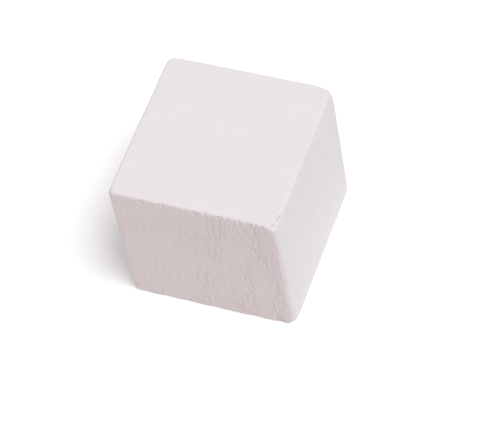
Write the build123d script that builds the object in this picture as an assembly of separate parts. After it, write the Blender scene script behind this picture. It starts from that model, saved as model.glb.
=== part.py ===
from build123d import *
import os

# A wooden craft cube: a square stick of hardwood, planed on its four long sides and cut
# across the grain to the same length as it is wide. Its arrises are eased, its corners
# are worn a little rounder, and it is painted matt white all over. It is one piece of
# wood. The paint is a finish, too thin to be a piece of its own.
#
# Frame, in millimetres: +Z up, with the origin in the middle of the underside. The grain
# runs along Y, so the two faces across Y are the sawn end grain, and the other four are
# the planed sides of the stick.

# Overall sizes, flat face to flat face
stick_width = 30.0       # along X, between two planed sides
cut_length = 30.0        # along Y, from one sawn end to the other
stick_height = 30.0      # along Z, from the underside to the top

# Edges and corners
arris_radius = 0.5       # rounding along every edge
corner_cut = 1.1         # length of each arris that wear has taken off at a corner
worn_corner_cut = 1.9    # the same length at the corner that is worn the most

# The corner that is worn the most, as its side of the middle along X, Y and Z
WORN_CORNER = (1, 1, 1)  # right, back, top


def sharp_block():
    """The stick cut to length, with square edges, standing on the origin's plane."""
    on_its_underside = (Align.CENTER, Align.CENTER, Align.MIN)
    return Box(stick_width, cut_length, stick_height, align=on_its_underside)


def corner_plane(corner, cut):
    """The plane that takes `cut` off each of the three arrises at `corner`, facing out.

    A plane square to the corner's diagonal meets all three arrises at one distance from
    the sharp corner, and a third of `cut` along each axis from it is a point on the plane.
    """
    side_x, side_y, side_z = corner
    third = cut / 3
    point = Vector(
        side_x * (stick_width / 2 - third),
        side_y * (cut_length / 2 - third),
        stick_height / 2 + side_z * (stick_height / 2 - third),
    )
    return Plane(origin=point, z_dir=Vector(side_x, side_y, side_z))


def wooden_cube():
    """The whole cube: the block with its corners worn off and every edge eased."""
    block = sharp_block()
    corners = [(x, y, z) for x in (-1, 1) for y in (-1, 1) for z in (-1, 1)]
    for corner in corners:
        cut = worn_corner_cut if corner == WORN_CORNER else corner_cut
        block = split(block, bisect_by=corner_plane(corner, cut), keep=Keep.BOTTOM)
    return fillet(block.edges(), radius=arris_radius)


os.makedirs("parts", exist_ok=True)

cube = wooden_cube()
export_step(cube, "parts/wooden_cube.step")

extent = cube.bounding_box()
print("wooden_cube")
print(f"  size {extent.size.X:.3f} x {extent.size.Y:.3f} x {extent.size.Z:.3f} mm")
print(f"  lowest point {extent.min.Z:.3f} mm, volume {cube.volume:.1f} mm3")
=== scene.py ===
# %% [markdown]
# # A painted wooden cube
#
# The object is a craft cube: a square stick of light hardwood, planed on its four long
# sides, cut across the grain to a cube, tumbled so that its edges are eased, and sprayed
# with matt white paint. It is one piece of wood, so there is one piece to make here.
#
# A cube is the first thing that Blender offers, and the plain one looks like plastic. What
# makes this one look like painted wood is small: edges that waver, corners that are worn by
# different amounts, and sawn end grain that shows through the paint as short torn fibres.
# Most of this lesson is about putting those into the mesh at their real size.
#
# The first cell loads the frame, which is the CAD model of the cube at its real size.

# %% Load the frame
import math

import bpy
import numpy as np
from mathutils import Matrix, Vector


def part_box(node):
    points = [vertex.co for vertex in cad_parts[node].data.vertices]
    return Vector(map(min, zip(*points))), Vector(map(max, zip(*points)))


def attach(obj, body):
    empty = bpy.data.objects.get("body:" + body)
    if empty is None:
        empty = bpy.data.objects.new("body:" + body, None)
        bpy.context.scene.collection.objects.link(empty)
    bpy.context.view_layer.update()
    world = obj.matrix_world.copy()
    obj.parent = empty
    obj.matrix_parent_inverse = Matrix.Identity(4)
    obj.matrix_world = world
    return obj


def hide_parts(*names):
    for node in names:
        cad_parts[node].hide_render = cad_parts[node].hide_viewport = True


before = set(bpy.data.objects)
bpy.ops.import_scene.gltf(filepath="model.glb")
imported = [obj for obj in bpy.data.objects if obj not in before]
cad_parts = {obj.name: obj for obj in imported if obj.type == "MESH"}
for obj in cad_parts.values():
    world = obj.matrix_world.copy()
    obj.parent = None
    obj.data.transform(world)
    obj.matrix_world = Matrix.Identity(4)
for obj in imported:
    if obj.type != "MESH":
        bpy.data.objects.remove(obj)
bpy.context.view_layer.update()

# %% [markdown]
# ## The size of the cube
#
# The script works in millimetres, because wood grain, saw marks and paint are all easier to
# judge in them, and turns to Blender's metres once, when the mesh is made. Every size of the
# whole cube is read from the CAD piece, so nothing has to be fitted to it later.
#
# Shapes are worked out round the middle of the cube, where each side is simply plus or minus
# half the width.

# %% Half sizes and middle of the CAD piece
MM = 0.001
node_low, node_high = (np.array(corner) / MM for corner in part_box("wooden_cube"))
HALF = (node_high - node_low) / 2
MIDDLE = (node_high + node_low) / 2
print("half sizes in mm:", HALF.round(3), "middle in mm:", MIDDLE.round(3))

# %% [markdown]
# ## A net of points over six faces
#
# The surface could be six grids sewn together, or a subdivided cube. Here it is the skin of
# a block of points, numbered once, so that neighbouring faces share the points of their
# edge and the mesh is closed from the start.
#
# The lines of the net are crowded towards the edges, where the rounding is. The sawn ends,
# at both ends of Y, need a fine net for their torn fibres, and the length along the grain
# needs only a coarse one. The hyperbolic tangent spaces the lines: it is steep in the
# middle and flattens towards both ends.

# %% Net lines along each axis
FINE_CELLS = 188         # across the sawn ends, cells of about 0.16 mm
COARSE_CELLS = 36        # along the grain
FINE_CROWDING = 0.7      # how strongly the lines draw together at the edges
COARSE_CROWDING = 2.2


def crowded_lines(half, cells, crowding):
    """Places from -half to half: half times tanh(crowding * t) / tanh(crowding), t from -1 to 1."""
    t = np.linspace(-1.0, 1.0, cells + 1)
    return half * np.tanh(crowding * t) / math.tanh(crowding)


lines_x = crowded_lines(HALF[0], FINE_CELLS, FINE_CROWDING)
lines_y = crowded_lines(HALF[1], COARSE_CELLS, COARSE_CROWDING)
lines_z = crowded_lines(HALF[2], FINE_CELLS, FINE_CROWDING)
print("cell widths in mm, edge and middle:", np.diff(lines_x)[[0, FINE_CELLS // 2]].round(3))

# %% The skin of the block: its points and its four-sided faces
lattice = np.stack(np.meshgrid(lines_x, lines_y, lines_z, indexing="ij"), axis=-1)
on_skin = np.zeros(lattice.shape[:3], bool)
on_skin[[0, -1]] = on_skin[:, [0, -1]] = on_skin[:, :, [0, -1]] = True
number = np.where(on_skin, np.cumsum(on_skin).reshape(on_skin.shape) - 1, -1)
sharp = lattice[on_skin]


def quads(sheet):
    """Four corner numbers of each cell of a sheet of point numbers, turning from rows to columns."""
    return np.stack([sheet[:-1, :-1], sheet[1:, :-1], sheet[1:, 1:], sheet[:-1, 1:]], axis=-1).reshape(-1, 4)


# Taking two axes in turning order, x to y, y to z or z to x, makes a face that points along
# the third one. The sheet on the low side is transposed, which turns it over to point outwards.
faces = np.concatenate([
    quads(number[:, :, -1]), quads(number[:, :, 0].T),
    quads(number[-1, :, :]), quads(number[0, :, :].T),
    quads(number[:, -1, :].T), quads(number[:, 0, :]),
])
print("points:", len(sharp), "triangles:", 2 * len(faces))

# %% [markdown]
# ## Smooth random numbers
#
# Wood and wear are uneven but never jumpy, so most of the shapes below start from value
# noise: random heights on a grid of whole numbers, blended smoothly between them. Stretching
# the coordinates that go in stretches the bumps that come out, which is how a round bump
# becomes a fibre. The seed is fixed, so the cube comes out the same on every run.

# %% Value noise and a smooth step
NOISE_SIZE = 256


def smooth_step(value, low, high):
    """0 below low, 1 above high, and 3t^2 - 2t^3 between them."""
    t = np.clip((value - low) / (high - low), 0.0, 1.0)
    return t * t * (3.0 - 2.0 * t)


def value_noise(u, v, seed):
    """Smooth heights from 0 to 1, about one bump per unit of u and of v.

    Each whole-number point has a random height. Between four of them the height is their
    average, weighted by the smooth step of how far along u and v the place is.
    """
    heights = np.random.default_rng(seed).random((NOISE_SIZE, NOISE_SIZE))
    cell_u, cell_v = np.floor(u).astype(int), np.floor(v).astype(int)
    share_u, share_v = smooth_step(u - cell_u, 0.0, 1.0), smooth_step(v - cell_v, 0.0, 1.0)
    near_u, far_u = cell_u % NOISE_SIZE, (cell_u + 1) % NOISE_SIZE
    near_v, far_v = cell_v % NOISE_SIZE, (cell_v + 1) % NOISE_SIZE
    near_row = heights[near_u, near_v] * (1 - share_v) + heights[near_u, far_v] * share_v
    far_row = heights[far_u, near_v] * (1 - share_v) + heights[far_u, far_v] * share_v
    return near_row * (1 - share_u) + far_row * share_u


# %% [markdown]
# ## Eased edges and worn corners
#
# Tumbling takes the sharpness off a wooden block. Each edge ends up with a small rounding,
# a few tenths of a millimetre, and each corner with a larger one, because a corner is hit
# from three sides. No two are the same.
#
# A Bevel modifier would round every edge alike. Instead the rounding is one formula with a
# radius that changes from place to place: a core block is set back from the sides by the
# radius, each point finds the nearest spot of that core, and then stands at one radius from
# it, in the direction it already had. On a flat face this changes nothing. Beside an edge it
# gives part of a cylinder, and at a corner part of a ball.

# %% How large the rounding is, from place to place
EDGE_RADIUS = 0.44       # mm, an ordinary eased edge
EDGE_WAVER = 0.4         # how much of the radius comes and goes along an edge
WAVER_LENGTH = 2.6       # mm from one swell of an edge to the next
EDGE_ZONE = 0.85         # share of the half width from which a place counts as beside a side

# Edges that differ: which sides meet there, and what is added to the radius in mm
EDGE_WEAR = {
    (1, -1, 0): 0.45,    # front right, rubbed the most
    (0, -1, 1): 0.08,    # front top, softened where the saw broke it
    (0, 1, 1): -0.08,    # back top, the crispest
}
# Corners: which sides meet there, the radius in mm, and how far along the edges it reaches
CORNER_WEAR = {
    (-1, 1, 1): (1.15, 1.6),
    (1, 1, 1): (1.5, 1.8),
    (1, -1, 1): (1.05, 1.7),
    (-1, -1, 1): (0.6, 1.5),
    (-1, -1, -1): (1.0, 1.6),
    (1, -1, -1): (1.25, 1.7),
    (1, 1, -1): (0.9, 1.6),
    (-1, 1, -1): (1.1, 1.7),
}


def rounding_radius(points):
    """The local radius in mm: a wavering edge radius, plus a swell round each worn corner.

    A corner adds (its radius - the edge radius) * exp(-(distance / reach)^2).
    """
    x, y, z = points.T
    waver = value_noise((x + 0.7 * z) / WAVER_LENGTH, y / WAVER_LENGTH, seed=3)
    radius = EDGE_RADIUS * (1 + EDGE_WAVER * (waver - 0.5))
    for sides, added in EDGE_WEAR.items():
        beside = [smooth_step(side * points[:, i] / HALF[i], EDGE_ZONE, 1.0)
                  for i, side in enumerate(sides) if side]
        radius += added * np.prod(beside, axis=0)
    for sides, (corner_radius, reach) in CORNER_WEAR.items():
        distance = np.linalg.norm(points - np.array(sides) * HALF, axis=1)
        radius += (corner_radius - EDGE_RADIUS) * np.exp(-(distance / reach) ** 2)
    return radius


def eased(points, radius):
    """Each sharp point moved to one radius from the core block, and the direction it faces."""
    room = HALF - radius[:, None]
    core = np.clip(points, -room, room)
    outward = points - core
    outward /= np.linalg.norm(outward, axis=1, keepdims=True)
    return core + radius[:, None] * outward, outward


radius = rounding_radius(sharp)
rounded, outward = eased(sharp, radius)
print("radius in mm, smallest and largest:", radius.min().round(2), radius.max().round(2))

# %% [markdown]
# ## Sawn end grain under paint
#
# The two faces across Y were cut by a saw, across the fibres. The blade tears some fibres
# out, and a thin coat of paint doesn't fill what they leave: short, narrow furrows that
# all run the same way, along the rays of the wood. They lean a little and sway, they lie
# close together in some places and leave others smooth, and one side of the face is rougher.
#
# An image or a bump map alone would show them, but the saw also broke the edges of the cut,
# and that has to change the outline. So the furrows are cut into the mesh. They are laid out
# in two coordinates that follow the wood: `across` counts millimetres from furrow to furrow,
# and `along` runs with them. Past an edge of the face both simply carry on over it, as if
# the neighbouring side were folded flat, so a furrow can run over the edge.

# %% Coordinates that follow the wood of one sawn end
LEAN_LEFT, LEAN_RIGHT = math.tan(math.radians(9)), math.tan(math.radians(2))
SWAY = 0.12              # mm to either side
SWAY_LENGTH = 8.5        # mm from one sway to the next
OVER_EDGE = 0.3          # mm that ordinary furrows fade over past the edge


def end_coordinates(points, end):
    """(across, along, x, fade) for the end at y = end * half: where each point lies on it.

    Unfolded, a point on a neighbouring side lies past the edge by its depth below the end.
    A furrow is the line x = across + lean * z + sway * sin(2 pi z / sway length + x / 4).
    """
    depth = HALF[1] - end * points[:, 1]
    past_x = np.isclose(np.abs(points[:, 0]), HALF[0]) * depth
    past_z = np.isclose(np.abs(points[:, 2]), HALF[2]) * depth
    x = points[:, 0] + np.sign(points[:, 0]) * past_x
    z = points[:, 2] + np.sign(points[:, 2]) * past_z
    right_share = smooth_step(x, -HALF[0], HALF[0])
    lean = LEAN_LEFT + (LEAN_RIGHT - LEAN_LEFT) * right_share
    sway = SWAY * np.sin(2 * math.pi * z / SWAY_LENGTH + x / 4)
    fade = np.exp(-(depth / OVER_EDGE) ** 2)
    return x - lean * z - sway, z, x, fade


# %% Furrows, and separate torn fibres
FURROW_WIDTH = 0.6       # mm between neighbouring furrows
FURROW_LENGTH = 3.0      # mm
FURROW_DEPTH = 0.14     # mm
FINE_SHARE = 0.55        # size of the finer furrows against the broad ones
WANDER = 0.22            # mm that a furrow strays from its straight line
WANDER_LENGTH = 2.0      # mm from one bend to the next
PATCH_WIDTH, PATCH_LENGTH = 2.6, 5.5


def rough_patches(across, along, x, seed):
    """How torn the wood is, 0 to 1: smooth and rough patches, and a rise from left to right.

    The last millimetres at the right are smooth again, where the edge was worn down.
    """
    patches = value_noise(across / PATCH_WIDTH, along / PATCH_LENGTH, seed + 1)
    rise = 0.42 + 0.58 * smooth_step(x, -0.6 * HALF[0], 0.3 * HALF[0])
    rise *= 1 - 0.7 * smooth_step(x, 0.82 * HALF[0], 0.97 * HALF[0])
    return (0.15 + 0.85 * smooth_step(patches, 0.2, 0.75)) * rise


def furrows(across, along, seed):
    """Depth in mm of the close, shallow furrows, from two sizes of stretched noise.

    The broad ones run where the noise n passes its middle height: 1 - |2n - 1| is 1 there and
    falls off on both sides, so they are long lines that bend, fork and join. The fine ones
    are the upper half of a second noise.
    """
    wander = WANDER * (value_noise(across / WANDER_LENGTH, along / WANDER_LENGTH, seed + 2) - 0.5)
    u, v = (across + wander) / FURROW_WIDTH, along / FURROW_LENGTH
    broad = 1 - np.abs(2 * value_noise(u, v, seed) - 1)
    fine = value_noise(u / FINE_SHARE, v / FINE_SHARE, seed + 3)
    return FURROW_DEPTH * (0.3 * smooth_step(broad, 0.6, 1.0) + smooth_step(fine, 0.4, 0.95))


def tears(across, along, fibres):
    """Depth in mm of separate torn fibres, each given as (across, along, half width, half length, depth).

    One fibre is depth * exp(-(off centre / half width)^2) * (1 - (along it / half length)^2)^2.
    """
    total = np.zeros_like(across)
    for centre, height, half_width, half_length, depth in fibres:
        near = (np.abs(across - centre) < 3 * half_width) & (np.abs(along - height) < half_length)
        sideways = (across[near] - centre) / half_width
        lengthways = (along[near] - height) / half_length
        total[near] += depth * np.exp(-sideways ** 2) * (1 - lengthways ** 2) ** 2
    return total


def scattered_fibres(random, count):
    """Torn fibres strewn over an end: more of them towards the right, most of them short."""
    across = HALF[0] * (1 - 2 * random.random(count) ** 1.5)
    along = HALF[2] * random.uniform(-1, 1, count)
    half_width = random.uniform(0.1, 0.17, count)
    half_length = 0.2 + 1.8 * random.random(count) ** 2
    depth = random.uniform(0.06, 0.32, count) * (1 - 0.2 * half_length)
    return np.stack([across, along, half_width, half_length, depth], axis=1)


# %% [markdown]
# ## Where the saw broke the edge
#
# Along the top edge of the front the tears come in small groups, and their places are listed,
# measured along the edge. The bottom edge was where the blade came out, so it is ragged from
# end to end, with wider and shallower breaks. Both use the same torn fibre as above, centred on
# the edge, so half of each lies on either side of it.

# %% Breaks along the top and bottom edges of the cut
TOP_BREAKS = (-9.4, -8.9, -5.9, -5.2, -4.6, -4.0, -3.5, -3.0, -2.2, -1.0, -0.5, 0.2, 0.8, 1.3,
              2.4, 2.9, 3.5, 4.1, 4.8, 5.4, 6.3, 7.7, 8.3, 9.9, 11.2)


def top_breaks(random, places, strength):
    """Fibres torn at the top edge: narrow, shallow, and about a millimetre down the face."""
    count = len(places)
    lean = LEAN_LEFT + (LEAN_RIGHT - LEAN_LEFT) * smooth_step(np.array(places), -HALF[0], HALF[0])
    across = np.array(places) - lean * HALF[2]
    return np.stack([
        across, HALF[2] - random.uniform(0.15, 0.8, count),
        random.uniform(0.13, 0.27, count), random.uniform(0.45, 1.2, count),
        random.uniform(0.12, 0.36, count) * strength,
    ], axis=1)


def bottom_breaks(random, count):
    """Fibres torn at the bottom edge: up to a millimetre wide, spread over its whole length."""
    across = random.uniform(-HALF[0], HALF[0] + 3, count)
    return np.stack([
        across, np.full(count, -HALF[2]) + random.uniform(-0.1, 0.2, count),
        random.uniform(0.15, 0.5, count), random.uniform(0.3, 0.9, count),
        random.uniform(0.1, 0.44, count),
    ], axis=1)


def end_relief(points, end, top_places, strength, seed):
    """Depth in mm of everything that the saw left at one end, and how torn it is, 0 to 1, for the paint."""
    random = np.random.default_rng(seed)
    across, along, x, fade = end_coordinates(points, end)
    rough = rough_patches(across, along, x, seed)
    close = furrows(across, along, seed) * rough
    separate = tears(across, along, scattered_fibres(random, 480)) * (0.15 + 0.85 * rough)
    surface_marks = strength * (close + separate)
    broken = tears(across, along, np.concatenate([
        top_breaks(random, top_places, strength), bottom_breaks(random, 50)]))
    return surface_marks * fade + broken * np.sqrt(fade), across, along, fade * (0.2 + 0.8 * rough)


front_relief, front_across, front_along, front_fade = end_relief(sharp, -1, TOP_BREAKS, 1.0, seed=11)
back_places = np.random.default_rng(5).uniform(-13, 13, 9)
back_relief, back_across, back_along, back_fade = end_relief(sharp, 1, back_places, 0.55, seed=29)
print("deepest mark on the front and back, mm:", front_relief.max().round(3), back_relief.max().round(3))

# %% [markdown]
# ## The planed sides and the nick
#
# The four planed sides are flat to the touch. Light shows that they aren't quite: planing and
# paint leave a swell of a few hundredths of a millimetre. At the near top corner the paint
# has cracked along the edge, a hairline furrow that follows the edge for a millimetre and a
# half and then turns round the corner. It is cut by its distance from a short bent line.

# %% Swells of the planed sides, and the hairline crack
SWELL_DEPTH, SWELL_LENGTH = 0.03, 7.0
CRACK_HALF_WIDTH = 0.1
# Each stretch of the crack: where it starts and stops, and its depth, all in mm
CRACK = (
    ((14.72, -12.1, 15.0), (14.66, -13.0, 15.0), 0.24),
    ((14.66, -13.0, 15.0), (14.5, -13.7, 15.0), 0.08),
    ((14.42, -13.9, 15.0), (14.0, -14.3, 15.0), 0.2),
)


def swells(points):
    """Depth in mm of the broad swells: value noise of the place, a few millimetres wide."""
    x, y, z = points.T
    return SWELL_DEPTH * value_noise((x + 0.6 * z) / SWELL_LENGTH, (y - 0.8 * z) / SWELL_LENGTH, seed=41)


def crack(points):
    """Depth in mm of the crack: the deepest of depth * exp(-(distance / half width)^2) of its stretches."""
    deepest = np.zeros(len(points))
    for start, stop, depth in CRACK:
        run = np.subtract(stop, start)
        share = np.clip((points - start) @ run / (run @ run), 0, 1)
        distance = np.linalg.norm(points - start - share[:, None] * run, axis=1)
        deepest = np.maximum(deepest, depth * np.exp(-(distance / CRACK_HALF_WIDTH) ** 2))
    return deepest


crack_relief = crack(sharp)
relief = front_relief + back_relief + crack_relief + swells(sharp)
surface = rounded - relief[:, None] * outward
print("surface in mm:", surface.min(0).round(3), surface.max(0).round(3))

# %% [markdown]
# ## The mesh, and what it tells the paint
#
# Points and faces go into the mesh as whole arrays. Three things that the shape knows are
# stored on its points for the material to read: the coordinates that follow the wood, how
# deep each spot lies in a furrow or the crack, for the painted shade there, and how much the
# rounding faces both right and up, or both left and down, for painted shade on those edges.

# %% Make the cube
END_SHOWS = front_fade + back_fade
GRAIN = np.stack([
    np.where(sharp[:, 1] < 0, front_across, back_across + 40),
    np.where(sharp[:, 1] < 0, front_along, back_along + 40),
    END_SHOWS,
], axis=1)
# Painted shade: the deeper a spot lies in a furrow, a torn fibre or the crack, the more the paint there is darkened.
PIT_SHADING = np.clip((front_relief + back_relief) / 8 + crack_relief / 0.3, 0, 1)
# Painted shade: 2 x (outward x) x (outward z) is largest on the rounding between the top and the right side, and
# between the bottom and the left. The paint is greyed there, which damps the highlight line that the lamps put on the
# top right edge.
EDGE_SHADING = np.clip(2 * outward[:, 0] * outward[:, 2], 0, 1)


def make_piece(name, points_mm, quads_of_points):
    """A mesh object at the origin, smooth shaded, from points in mm about the cube's middle."""
    mesh = bpy.data.meshes.new(name)
    mesh.from_pydata(((points_mm + MIDDLE) * MM).tolist(), [], quads_of_points.tolist())
    mesh.polygons.foreach_set("use_smooth", np.ones(len(quads_of_points), bool))
    mesh.update()
    piece = bpy.data.objects.new(name, mesh)
    bpy.context.scene.collection.objects.link(piece)
    return piece


cube = make_piece("painted_cube", surface, faces)
cube.data.attributes.new("grain", "FLOAT_VECTOR", "POINT").data.foreach_set("vector", GRAIN.ravel())
cube.data.attributes.new("pit_shading", "FLOAT", "POINT").data.foreach_set("value", PIT_SHADING)
cube.data.attributes.new("edge_shading", "FLOAT", "POINT").data.foreach_set("value", EDGE_SHADING)
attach(cube, "root")
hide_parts("wooden_cube")
print("painted_cube:", len(cube.data.vertices), "points,", len(cube.data.polygons), "faces")

# %% [markdown]
# ## Colours and nodes
#
# Colours are written as the hex values one would pick on a screen, and one function turns
# them into the linear values that Blender works in. One more function adds a node, sets it
# and links it, so a material reads as a list of what is in it.

# %% Colour and node helpers


def linear(hex_colour):
    """Linear RGBA of an sRGB hex colour: c / 12.92 when dark, otherwise ((c + 0.055) / 1.055)^2.4."""
    parts = [int(hex_colour[i:i + 2], 16) / 255 for i in (1, 3, 5)]
    return [c / 12.92 if c <= 0.04045 else ((c + 0.055) / 1.055) ** 2.4 for c in parts] + [1.0]


def add_node(tree, kind, links=None, **settings):
    """Adds a node, sets its properties or the inputs of that name, and links sockets into it."""
    node = tree.nodes.new(kind)
    for key, value in settings.items():
        if hasattr(node, key):
            setattr(node, key, value)
        else:
            node.inputs[key.replace("_", " ")].default_value = value
    for socket, source in (links or {}).items():
        tree.links.new(source, node.inputs[socket])
    return node


def empty_material(name):
    """A material with only its output node, and the output."""
    material = bpy.data.materials.new(name)
    material.use_nodes = True
    material.node_tree.nodes.clear()
    return material, material.node_tree.nodes.new("ShaderNodeOutputMaterial")


# %% [markdown]
# ## Matt white paint over sanded hardwood
#
# The finish is a thin sprayed coat of water-based acrylic. It is a slightly warm white, not
# a pure one, and it scatters light so well that gloss only shows as a faint sheen at low
# angles. To the eye it gives three things: a colour that drifts very slightly, a drier surface
# on the end grain, which drinks the paint, and a fine skin, like orange peel, with a few nibs
# of dust. On top of these, shade is painted into the colour: darker in the furrows, torn fibres
# and the crack, and a little greyer on the top right edges, to damp their highlight.
#
# The furrows in the mesh are as fine as its net allows, about a third of a millimetre. The
# fibres between them are finer still, so they are bump, and run along the same lines,
# because the bump reads the coordinates that the mesh carries.

# %% Paint material
WHITE_PAINT, THICK_PAINT = linear("#ECE7EB"), linear("#E5E0E4")
# The last two colours are painted shade: the dark one for the furrows and the crack, the grey one for the top right
# edges.
PIT_SHADE_COLOUR, EDGE_SHADE_COLOUR = linear("#857B78"), linear("#E4DFE3")
PER_METRE = 1 / MM       # a pattern of this scale repeats about every millimetre


def matt_white_paint_over_hardwood():
    """Matt acrylic paint on sanded wood: colour, roughness and three sizes of bump."""
    material, output = empty_material("matt_white_paint_over_hardwood")
    tree = material.node_tree
    place = add_node(tree, "ShaderNodeTexCoord").outputs["Object"]
    grain = add_node(tree, "ShaderNodeAttribute", attribute_name="grain").outputs["Vector"]
    pit_shading = add_node(tree, "ShaderNodeAttribute", attribute_name="pit_shading").outputs["Fac"]
    edge_shading = add_node(tree, "ShaderNodeAttribute", attribute_name="edge_shading").outputs["Fac"]
    end_shows = add_node(tree, "ShaderNodeSeparateXYZ", {"Vector": grain}).outputs["Z"]

    # Colour: broad drift of the coat, then painted shade on the top right edges, then painted shade in the furrows and
    # the crack
    drift = add_node(tree, "ShaderNodeTexNoise", {"Vector": place}, Scale=PER_METRE / 6, Detail=3.0)
    coat = add_node(tree, "ShaderNodeMix", {"Factor": drift.outputs["Fac"]}, data_type="RGBA")
    coat.inputs[6].default_value, coat.inputs[7].default_value = WHITE_PAINT, THICK_PAINT
    # Painted shade on the top right edges, mixed in by the share stored on the points.
    edge_shaded = add_node(tree, "ShaderNodeMix", {"Factor": edge_shading}, data_type="RGBA")
    tree.links.new(coat.outputs[2], edge_shaded.inputs[6])
    edge_shaded.inputs[7].default_value = EDGE_SHADE_COLOUR
    # Painted shade in the furrows and the crack: the paint is mixed towards a dark grey by their depth.
    pit_shaded = add_node(tree, "ShaderNodeMix", data_type="RGBA")
    pit_shade_share = add_node(tree, "ShaderNodeMath", {0: pit_shading}, operation="MULTIPLY")
    pit_shade_share.inputs[1].default_value = 0.9
    tree.links.new(pit_shade_share.outputs[0], pit_shaded.inputs["Factor"])
    tree.links.new(edge_shaded.outputs[2], pit_shaded.inputs[6])
    pit_shaded.inputs[7].default_value = PIT_SHADE_COLOUR

    # Roughness: uneven sheen, and drier on the end grain
    sheen = add_node(tree, "ShaderNodeTexNoise", {"Vector": place}, Scale=PER_METRE / 1.5, Detail=2.0)
    side_rough = add_node(tree, "ShaderNodeMapRange", {"Value": sheen.outputs["Fac"]})
    side_rough.inputs["To Min"].default_value, side_rough.inputs["To Max"].default_value = 0.58, 0.7
    dry = add_node(tree, "ShaderNodeMath", {0: end_shows, 2: side_rough.outputs[0]}, operation="MULTIPLY_ADD")
    dry.inputs[1].default_value = 0.15

    # Bump: fibres of the end grain, the skin of the paint, and nibs of dust in it
    stretch = add_node(tree, "ShaderNodeVectorMath", {0: grain}, operation="MULTIPLY")
    stretch.inputs[1].default_value = (1 / 0.26, 1 / 2.0, 0.0)
    fibres = add_node(tree, "ShaderNodeTexNoise", {"Vector": stretch.outputs[0]}, Scale=1.0, Detail=2.0)
    fibre_height = add_node(tree, "ShaderNodeMath", {0: fibres.outputs["Fac"], 1: end_shows}, operation="MULTIPLY")
    fibre_bump = add_node(tree, "ShaderNodeBump", {"Height": fibre_height.outputs[0]}, Strength=1.0, Distance=0.13 * MM)
    skin = add_node(tree, "ShaderNodeTexNoise", {"Vector": place}, Scale=PER_METRE / 0.3, Detail=2.0)
    skin_bump = add_node(tree, "ShaderNodeBump", {"Height": skin.outputs["Fac"], "Normal": fibre_bump.outputs[0]},
                         Strength=0.5, Distance=0.008 * MM)
    spots = add_node(tree, "ShaderNodeTexVoronoi", {"Vector": place}, Scale=PER_METRE / 4.5)
    nib = add_node(tree, "ShaderNodeMapRange", {"Value": spots.outputs["Distance"]}, interpolation_type="SMOOTHSTEP")
    for socket, value in (("From Min", 0.0), ("From Max", 0.055), ("To Min", 1.0), ("To Max", 0.0)):
        nib.inputs[socket].default_value = value
    nib_bump = add_node(tree, "ShaderNodeBump", {"Height": nib.outputs[0], "Normal": skin_bump.outputs[0]},
                        Strength=0.9, Distance=0.08 * MM)

    paint = add_node(tree, "ShaderNodeBsdfPrincipled", {
        "Base Color": pit_shaded.outputs[2], "Roughness": dry.outputs[0], "Normal": nib_bump.outputs[0]})
    tree.links.new(paint.outputs[0], output.inputs["Surface"])
    return material


cube.data.materials.append(matt_white_paint_over_hardwood())
print("material:", cube.data.materials[0].name, "with", len(cube.data.materials[0].node_tree.nodes), "nodes")

# %% [markdown]
# ## Floor and surroundings
#
# The cube stands on a plain white floor under an even white room. The floor is a true white
# surface that takes the cube's shadow, and a little light of its own is added only to what
# the camera and mirrors see of it, so that it reads as white paper without more light
# falling on the cube.

# %% Floor and room
FLOOR_RADIUS = 1000.0    # mm
FLOOR_LIFT = 0.23        # extra brightness of the floor to the camera
ROOM_LEVEL = 0.12        # light that comes from all round


def seen_directly(tree):
    """1 for camera, mirror and glass rays, 0 for the rays that only bring light."""
    ray = add_node(tree, "ShaderNodeLightPath")
    glossy = add_node(tree, "ShaderNodeMath", {
        0: ray.outputs["Is Camera Ray"], 1: ray.outputs["Is Glossy Ray"]}, operation="MAXIMUM")
    return add_node(tree, "ShaderNodeMath", {
        0: glossy.outputs[0], 1: ray.outputs["Is Transmission Ray"]}, operation="MAXIMUM").outputs[0]


def white_floor():
    """White paper: diffuse, plus a faint glow that only camera and mirror rays see."""
    material, output = empty_material("white_paper_floor")
    tree = material.node_tree
    paper = add_node(tree, "ShaderNodeBsdfDiffuse", Color=linear("#F5F5F5"))
    lift = add_node(tree, "ShaderNodeMath", {0: seen_directly(tree)}, operation="MULTIPLY")
    lift.inputs[1].default_value = FLOOR_LIFT
    glow = add_node(tree, "ShaderNodeEmission", {"Strength": lift.outputs[0]}, Color=(1, 1, 1, 1))
    both = add_node(tree, "ShaderNodeAddShader", {0: paper.outputs[0], 1: glow.outputs[0]})
    tree.links.new(both.outputs[0], output.inputs["Surface"])
    return material


bpy.ops.mesh.primitive_circle_add(vertices=96, radius=FLOOR_RADIUS * MM, fill_type="NGON")
floor = bpy.context.object
floor.name = "floor"
floor.data.materials.append(white_floor())

world = bpy.data.worlds.new("white_room")
bpy.context.scene.world = world
world.use_nodes = True
world.node_tree.nodes.clear()
room_level = add_node(world.node_tree, "ShaderNodeMapRange", {"Value": seen_directly(world.node_tree)})
room_level.inputs["To Min"].default_value, room_level.inputs["To Max"].default_value = ROOM_LEVEL, 1.0
room = add_node(world.node_tree, "ShaderNodeBackground", {"Strength": room_level.outputs[0]}, Color=(1, 1, 1, 1))
room_out = add_node(world.node_tree, "ShaderNodeOutputWorld", {"Surface": room.outputs[0]})
print("room level:", ROOM_LEVEL)

# %% [markdown]
# ## Lamps
#
# One large soft lamp stands high, over the right side of the cube and a little behind the
# camera's side of it, so the top is the brightest face, the right side comes next, and the
# front is in gentle shade. It grazes the front, which is what makes torn fibres visible:
# each furrow has a lit flank and a shaded one.
#
# A lamp's power is worked out from the level that it gives: a square lamp of power P at
# distance d lights a surface that faces it as brightly as paper under level P / (pi d)^2.

# %% Softboxes


LAMP_DISTANCE = 8000.0   # mm, far off, so that the floor is evenly lit


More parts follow.
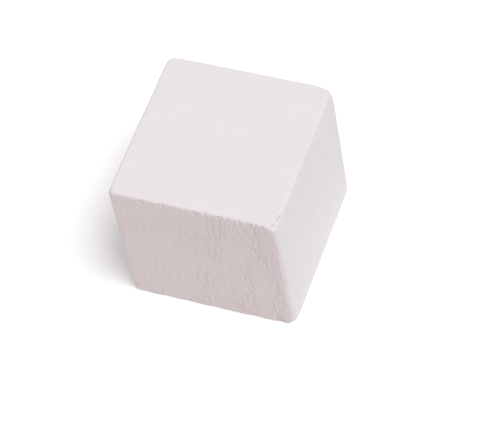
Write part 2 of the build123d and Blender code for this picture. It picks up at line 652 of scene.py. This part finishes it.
def softbox(name, azimuth, elevation, spread, level, colour):
    """A square lamp, `spread` degrees across as seen from the cube, that adds `level` to a surface facing it."""
    lamp = bpy.data.lights.new(name, "AREA")
    lamp.shape = "SQUARE"
    lamp.size = 2 * LAMP_DISTANCE * math.tan(math.radians(spread / 2)) * MM
    lamp.energy = level * (math.pi * LAMP_DISTANCE * MM) ** 2
    lamp.color = linear(colour)[:3]
    turn, rise = math.radians(azimuth), math.radians(elevation)
    away = Vector((math.sin(turn) * math.cos(rise), -math.cos(turn) * math.cos(rise), math.sin(rise)))
    holder = bpy.data.objects.new(name, lamp)
    holder.location = Vector(MIDDLE * MM) + away * LAMP_DISTANCE * MM
    holder.rotation_euler = away.to_track_quat("Z", "Y").to_euler()
    bpy.context.scene.collection.objects.link(holder)
    return holder


key = softbox("key_softbox", azimuth=63, elevation=65, spread=24, level=0.71, colour="#FFFFFF")
rear = softbox("rear_softbox", azimuth=115, elevation=60, spread=37, level=0.26, colour="#FFFFFF")
back = softbox("back_softbox", azimuth=225, elevation=15, spread=37, level=0.18, colour="#FFFFFF")
fill = softbox("fill_softbox", azimuth=-25, elevation=12, spread=31, level=0.13, colour="#FFA888")
print("lamps in W:", [round(lamp.data.energy, 2) for lamp in (key, rear, back, fill)])

# %% [markdown]
# ## Camera
#
# The view is from the front right and well above, with a long lens from half a metre away,
# so the far edges are only slightly shorter than the near ones. The camera is turned a
# little about its own axis, which sets the cube at a slant, as if it had been put down
# without care.

# %% Camera
CAMERA_AZIMUTH = 29.43   # degrees round from the front, to the right
CAMERA_ELEVATION = 54.7  # degrees above the floor
CAMERA_ROLL = 12.37      # degrees that the cube leans in the picture
CAMERA_DISTANCE = 424.2  # mm from the lens to the middle of the cube
AIM_RIGHT, AIM_UP = 3.07, -5.57  # mm from the middle of the cube to the middle of the picture
LENS, SENSOR = 175.98, 36.0      # mm

turn, rise = math.radians(CAMERA_AZIMUTH), math.radians(CAMERA_ELEVATION)
backward = Vector((math.sin(turn) * math.cos(rise), -math.cos(turn) * math.cos(rise), math.sin(rise)))
level_right = Vector((math.cos(turn), math.sin(turn), 0))
level_up = backward.cross(level_right)
roll = math.radians(CAMERA_ROLL)
camera_right = math.cos(roll) * level_right - math.sin(roll) * level_up
camera_up = math.sin(roll) * level_right + math.cos(roll) * level_up

camera_data = bpy.data.cameras.new("camera")
camera_data.lens, camera_data.sensor_width = LENS, SENSOR
camera_data.clip_start, camera_data.clip_end = 0.01, 20.0
camera = bpy.data.objects.new("camera", camera_data)
aim = Vector(MIDDLE * MM) + (AIM_RIGHT * camera_right + AIM_UP * camera_up) * MM
axes = Matrix((camera_right, camera_up, backward)).transposed().to_4x4()
camera.matrix_world = Matrix.Translation(aim + backward * CAMERA_DISTANCE * MM) @ axes
bpy.context.scene.collection.objects.link(camera)
bpy.context.scene.camera = camera
bpy.context.scene.view_settings.view_transform = "Standard"
print("camera at mm:", [round(value / MM, 1) for value in camera.location])
